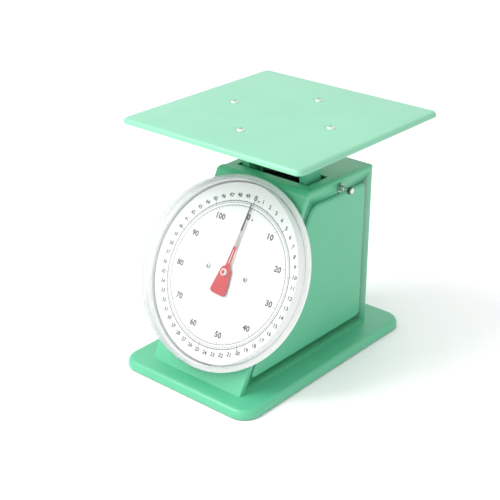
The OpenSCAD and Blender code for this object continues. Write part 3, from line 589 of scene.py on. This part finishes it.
def makeFrontPanel():
    c = casingForm
    bm = bmesh.new()
    casingBlock(bm, 0)
    front = [f for f in bm.faces if f.normal.y < -0.7 and f.calc_area() > wideFace]
    sideFolds = [e for f in front for e in f.edges if abs(e.verts[0].co.z - e.verts[1].co.z) > 100]
    bevelEdges(bm, sideFolds, c["fold"], 5)
    lean = math.radians(c["tilt"])
    inward = Vector((0, math.cos(lean), -math.sin(lean)))
    bmesh.ops.bisect_plane(bm, geom=bm.verts[:] + bm.edges[:] + bm.faces[:],
                           plane_co=Vector((0, c["front"], c["foot"])) + inward * c["lip"], plane_no=inward,
                           clear_outer=True)
    bmesh.ops.delete(bm, geom=[f for f in bm.faces if f.normal.z < -0.9], context="FACES_ONLY")
    sheetThick(bm, c["sheet"])
    tilted = dialPlane.to_quaternion().to_matrix().to_4x4()
    drill(bm, dialPlane @ Vector((0, 0, c["arborHoleAt"])), tilted, c["arborHole"], c["holeDepth"])
    return finishPiece("frontPanel", bm, Matrix.Identity(4), "stand", "mint_paint", ["front_panel"])


print("sheet metal:", makeBasePlate().name, makePlatform().name, makeCasing().name, makeFrontPanel().name)
print("screws:", makePlatformScrews().name, makeDialScrews().name)


# dial: pan, face, print, cover
dialPan = dict(bore=9, wall=105.8, floor=-10.5, flange=-1.3, rim=112, lip=-4, bend=1.6, sheet=1,
               boss=5, bossTop=-5.8)


def makeDialPan():
    d = dialPan
    bm = bmesh.new()
    path = [(d["bore"], d["floor"])]
    path += arc((d["wall"] - d["bend"], d["floor"] + d["bend"]), d["bend"], -90, 0, 4)
    path += arc((d["wall"] + d["bend"], d["flange"] - d["bend"]), d["bend"], 180, 90, 4)
    path += arc((d["rim"] - d["bend"], d["flange"] - d["bend"]), d["bend"], 90, 0, 4)
    path += [(d["rim"], d["lip"])]
    turned(bm, path, 128)
    outward(bm)
    bmesh.ops.solidify(bm, geom=bm.faces[:], thickness=d["sheet"])
    bossHeight = d["bossTop"] - d["floor"] - d["sheet"] / 2
    for side in (-1, 1):
        shank(bm, d["boss"], bossHeight, (side * dialScrew["apart"], 0, d["bossTop"]))
    return finishPiece("dialPan", bm, dialPlane, "stand", "white_dial", ["dial_pan"])


dialFace = dict(radius=103.5, top=-5, thick=0.8, bore=5, edge=0.25)


def makeDialFace():
    d = dialFace
    bm = bmesh.new()
    low, high, e = d["top"] - d["thick"], d["top"], d["edge"]
    turned(bm, [(d["bore"], low), (d["radius"], low), (d["radius"], high - e), (d["radius"] - e, high),
                (d["bore"], high), (d["bore"], low)], 144)
    outward(bm)
    return finishPiece("dialFace", bm, dialPlane, "stand", "white_dial", ["dial_face"])


inkColour = dict(dark=(0.05, 0.047, 0.048), faded=(0.1, 0.094, 0.096))
finishes["ink"] = moulded("dialInk", inkColour["dark"], inkColour["faded"], 0.5)

# circles are (radius, width), ticks are (from, to, width), and one turn of the dial is 50 kg or 110.23 lb
scalePrint = dict(zero=3.5, place=(0.3, -1.8, -4.94), kilos=50, ticksPerKilo=5, kiloCircle=(84.4, 0.75),
                  innerCircle=(82.0, 0.25), kiloTick=(82.0, 84.4, 0.45), kiloUnit=(82.0, 85.8, 0.5),
                  kiloFive=(82.0, 87.4, 0.7), kiloNumber=90.8, kiloSize=6.3, zeroSize=8.4,
                  pounds=110.23, poundCircle=(79.2, 0.65), poundTick=(77.2, 79.2, 0.5),
                  poundTen=(75.4, 79.2, 0.6), poundNumber=68.5, poundSize=9.4,
                  unitSize=3.6, kiloUnitShift=(5.2, -2.2), poundUnitShift=(6, -1.6), bold=0.04)


def inkBar(bm, angle, start, end, width):
    made = bmesh.ops.create_grid(bm, x_segments=1, y_segments=1, size=0.5)["verts"]
    bmesh.ops.scale(bm, vec=(width, end - start, 1), verts=made)
    bmesh.ops.translate(bm, vec=(0, (start + end) / 2, 0), verts=made)
    bmesh.ops.rotate(bm, cent=(0, 0, 0), matrix=Matrix.Rotation(math.radians(-angle), 3, "Z"), verts=made)


def inkRing(bm, radius, width):
    verts = [bm.verts.new((radius + side * width / 2, 0, 0)) for side in (-1, 1)]
    edge = bm.edges.new(verts)
    bmesh.ops.spin(bm, geom=verts + [edge], cent=(0, 0, 0), axis=(0, 0, 1), angle=2 * math.pi,
                   steps=144, use_merge=True)


def onDial(angle, radius, shift=(0, 0)):  # clockwise from the dial's upright
    turn = math.radians(angle)
    return radius * math.sin(turn) + shift[0], radius * math.cos(turn) + shift[1]


def inkWord(bm, word, size, x, y):  # numbers and units only
    letters = bpy.data.curves.new("word", "FONT")
    letters.body = word
    letters.size = size
    letters.offset = scalePrint["bold"] * size
    letters.align_x = "CENTER"
    letters.align_y = "CENTER"
    letters.resolution_u = 2
    holder = bpy.data.objects.new("word", letters)
    bpy.context.scene.collection.objects.link(holder)
    bpy.context.view_layer.update()
    mesh = bpy.data.meshes.new_from_object(holder.evaluated_get(bpy.context.evaluated_depsgraph_get()))
    known = set(bm.verts)
    bm.from_mesh(mesh)
    bmesh.ops.translate(bm, vec=(x, y, 0), verts=[v for v in bm.verts if v not in known])
    bpy.data.objects.remove(holder)
    bpy.data.curves.remove(letters)
    bpy.data.meshes.remove(mesh)


def makeScalePrint():
    s = scalePrint
    bm = bmesh.new()
    inkRing(bm, *s["kiloCircle"])
    inkRing(bm, *s["innerCircle"])
    inkRing(bm, *s["poundCircle"])
    ticks = s["kilos"] * s["ticksPerKilo"]
    for i in range(ticks):
        five, unit = i % (5 * s["ticksPerKilo"]) == 0, i % s["ticksPerKilo"] == 0
        bar = s["kiloFive"] if five else s["kiloUnit"] if unit else s["kiloTick"]
        inkBar(bm, s["zero"] + i * 360 / ticks, *bar)
    for i in range(int(s["pounds"]) + 1):
        bar = s["poundTen"] if i % 10 == 0 else s["poundTick"]
        inkBar(bm, s["zero"] + i * 360 / s["pounds"], *bar)
    for i in range(s["kilos"]):
        size = s["zeroSize"] if i == 0 else s["kiloSize"]
        inkWord(bm, str(i), size, *onDial(s["zero"] + i * 360 / s["kilos"], s["kiloNumber"]))
    for i in range(0, int(s["pounds"]) - 9, 10):  # a last number would run into the zero
        inkWord(bm, str(i), s["poundSize"], *onDial(s["zero"] + i * 360 / s["pounds"], s["poundNumber"]))
    inkWord(bm, "kg", s["unitSize"], *onDial(s["zero"], s["kiloNumber"], s["kiloUnitShift"]))
    inkWord(bm, "lb", s["unitSize"], *onDial(s["zero"], s["poundNumber"], s["poundUnitShift"]))
    for face in bm.faces:
        if face.normal.z < 0:
            face.normal_flip()
    place = dialPlane @ Matrix.Translation(s["place"])
    return finishPiece("scalePrint", bm, place, "stand", "white_dial", finish=finishes["ink"])


dialCover = dict(flange=112.5, low=-0.8, thick=1.6, wall=108.5, draft=0.8, front=15.8, edge=2.6, inner=1.2,
                 fillet=0.9, rim=0.4, foot=0.5)


def makeDialCover():
    d = dialCover
    bm = bmesh.new()
    topR = d["wall"] - d["draft"]
    path = [(0, d["front"])]
    path += arc((topR - d["edge"], d["front"] - d["edge"]), d["edge"], 90, 2.8, 7)
    fillet, rim, foot, inner = d["fillet"], d["rim"], d["foot"], d["inner"]
    flangeTop = d["low"] + d["thick"]
    path += arc((d["wall"] + fillet, flangeTop + fillet), fillet, 182, 270, 3)
    path += arc((d["flange"] - rim, flangeTop - rim), rim, 90, 0, 3)
    path += arc((d["flange"] - rim, d["low"] + rim), rim, 0, -90, 3)
    path += arc((d["wall"] - d["thick"] + foot, d["low"] + foot), foot, 270, 182, 3)
    path += arc((topR - d["thick"] - inner, d["front"] - d["thick"] - inner), inner, 2.8, 90, 5)
    path += [(0, d["front"] - d["thick"])]
    turned(bm, path, 160)
    outward(bm)
    return finishPiece("dialCover", bm, dialPlane, "stand", "clear_plastic", ["dial_cover"], smooth=50)


print("dial:", makeDialPan().name, makeDialFace().name, makeScalePrint().name, makeDialCover().name)


# pointer and its hub
# the needle is red up to redEnd, pale grey up to paleEnd and black out to the tip
pointerBands = dict(redEnd=31, paleEnd=50, edge=0.12)
finishes["grey"] = moulded("pointerGrey", (0.5, 0.4, 0.4), (0.4, 0.32, 0.32), 0.35)
finishes["black"] = moulded("pointerBlack", (0.03, 0.03, 0.03), (0.02, 0.02, 0.02), 0.35)


def copyOf(name, place):  # a merged copy of a CAD node, in millimetres, in the given frame
    bm = bmesh.new()
    bm.from_mesh(nodes[name].data)
    bmesh.ops.transform(bm, matrix=(millimetres @ place).inverted(), verts=bm.verts)
    bmesh.ops.remove_doubles(bm, verts=bm.verts, dist=0.002)
    bmesh.ops.dissolve_limit(bm, angle_limit=math.radians(0.5), verts=bm.verts, edges=bm.edges)
    return bm


def makePointer():
    p = pointerBands
    place = dialPlane @ Matrix.Rotation(math.radians(-scalePrint["zero"]), 4, "Z")
    bm = copyOf("pointer", place)
    sharp = [e for e in bm.edges if len(e.link_faces) == 2 and e.calc_face_angle() > math.radians(35)]
    bevelEdges(bm, sharp, p["edge"], 2)
    for end in (p["redEnd"], p["paleEnd"]):
        cutAll(bm, (0, end, 0), (0, 1, 0))
    for face in bm.faces:
        y = face.calc_center_median().y
        face.material_index = 0 if y < p["redEnd"] else 1 if y < p["paleEnd"] else 2
    return finishPiece("pointerNeedle", bm, place, "pointer_set", "red_paint", ["pointer"],
                       [finishes["grey"], finishes["black"]])


pointerHub = dict(bore=1.5, low=-3.8, plate=-1.4, neck=3, collar=3.9, top=2.2, cap=2.5)


def makePointerHub():
    h = pointerHub
    bm = bmesh.new()
    low, plate, top = h["low"], h["plate"], h["top"]
    turned(bm, [(h["bore"], low), (h["neck"], low), (h["neck"], plate), (h["collar"], plate),
                (h["collar"], top - 0.5), (h["collar"] - 0.5, top), (h["cap"] + 0.1, top),
                (h["cap"], top - 0.3), (0, top - 0.25), (0, top - 0.45), (h["bore"], top - 0.45),
                (h["bore"], low)], 40)
    outward(bm)
    for face in bm.faces:
        c = face.calc_center_median()
        face.material_index = 1 if c.xy.length < h["cap"] and c.z > top - 1 else 0
    return finishPiece("pointerHub", bm, dialPlane, "pointer_set", "white_plastic", ["pointer_hub"],
                       [finishes["red_paint"]])


print("pointer:", makePointer().name, makePointerHub().name)


# zero knob
zeroKnob = dict(start=68.9, radius=4.2, grooves=26, depth=0.4, grip=(9.5, 13.2))
finishes["darkGrip"] = platedMetal("darkGrip", (0.16, 0.18, 0.17), (0.09, 0.11, 0.1), 0.4, 300)
finishes["paleTurned"] = platedMetal("paleTurned", (0.74, 0.76, 0.74), (0.6, 0.63, 0.61), 0.3, 300)


def makeZeroKnob():
    k = zeroKnob
    bm = bmesh.new()
    r = k["radius"]
    stations = [(0, r - 0.9), (0.5, r - 0.5), (1.2, r - 0.5), (1.5, r - 0.2), (4.4, r - 0.2),
                (4.8, r - 0.5), (9.4, r - 0.5), (9.8, r), (12.8, r), (13.1, r - 0.3), (13.3, r - 0.9),
                (14.2, r - 0.9), (14.6, r - 1.3)]
    ring = bmesh.ops.create_circle(bm, segments=k["grooves"] * 2, radius=stations[0][1])["verts"]
    edges = list({e for v in ring for e in v.link_edges})
    for (z0, r0), (z1, r1) in zip(stations, stations[1:]):
        geom = bmesh.ops.extrude_edge_only(bm, edges=edges)["geom"]
        moved = [g for g in geom if isinstance(g, bmesh.types.BMVert)]
        edges = [g for g in geom if isinstance(g, bmesh.types.BMEdge)]
        bmesh.ops.scale(bm, vec=(r1 / r0, r1 / r0, 1), verts=moved)
        bmesh.ops.translate(bm, vec=(0, 0, z1 - z0), verts=moved)
    bmesh.ops.holes_fill(bm, edges=[e for e in bm.edges if e.is_boundary], sides=0)
    turn = 2 * math.pi / (k["grooves"] * 2)
    for v in bm.verts:  # straight knurling on the widest band
        if v.co.xy.length > r - 0.05 and round(math.atan2(v.co.y, v.co.x) / turn) % 2:
            v.co.x *= 1 - k["depth"] / r
            v.co.y *= 1 - k["depth"] / r
    outward(bm)
    for face in bm.faces:
        face.material_index = 1 if k["grip"][0] < face.calc_center_median().z < k["grip"][1] else 0
    place = Matrix.Translation((k["start"], *casingForm["spindle"])) @ sideways
    return finishPiece("zeroKnob", bm, place, "zero_set", "zinc_plate", ["zero_knob"],
                       [finishes["darkGrip"]], finish=finishes["paleTurned"])


# springs
loadSpring = dict(apart=24, y=22, top=181, turns=20, pitch=3.6, mean=8, wire=1.6, steps=18, sides=8)


def makeSpring(side):
    s = loadSpring
    bm = bmesh.new()
    ring = bmesh.ops.create_circle(bm, segments=s["sides"], radius=s["wire"])["verts"]
    bmesh.ops.rotate(bm, cent=(0, 0, 0), matrix=Matrix.Rotation(math.radians(90), 3, "X"), verts=ring)
    bmesh.ops.translate(bm, vec=(s["mean"], 0, -s["wire"]), verts=ring)
    edges = list({e for v in ring for e in v.link_edges})
    steps = s["turns"] * s["steps"]
    bmesh.ops.spin(bm, geom=ring + edges, cent=(0, 0, 0), axis=(0, 0, 1), angle=2 * math.pi * s["turns"],
                   dvec=(0, 0, -s["pitch"] / s["steps"]), steps=steps)
    bmesh.ops.holes_fill(bm, edges=[e for e in bm.edges if e.is_boundary], sides=0)
    outward(bm)
    name = "Left" if side < 0 else "Right"
    top = Vector((side * s["apart"], s["y"], s["top"]))
    bottom = top - Vector((0, 0, s["turns"] * s["pitch"]))
    stretch = ("stand", "platform_set", millimetres @ top, millimetres @ bottom)
    return finishPiece("spring" + name, bm, Matrix.Translation(top), stretch, "bare_steel",
                       ["spring_" + name.lower()])


print("knob and springs:", makeZeroKnob().name, makeSpring(-1).name, makeSpring(1).name)


# CAD parts that keep their own shape
slotOf = {part["node"]: part["material_slot"] for part in frame["record"]["subparts"]}
for name, node in nodes.items():
    node.data.materials.clear()
    node.data.materials.append(finishes[slotOf[name]])
print("CAD parts finished:", len(nodes))

makeCamera()
makeStudio()
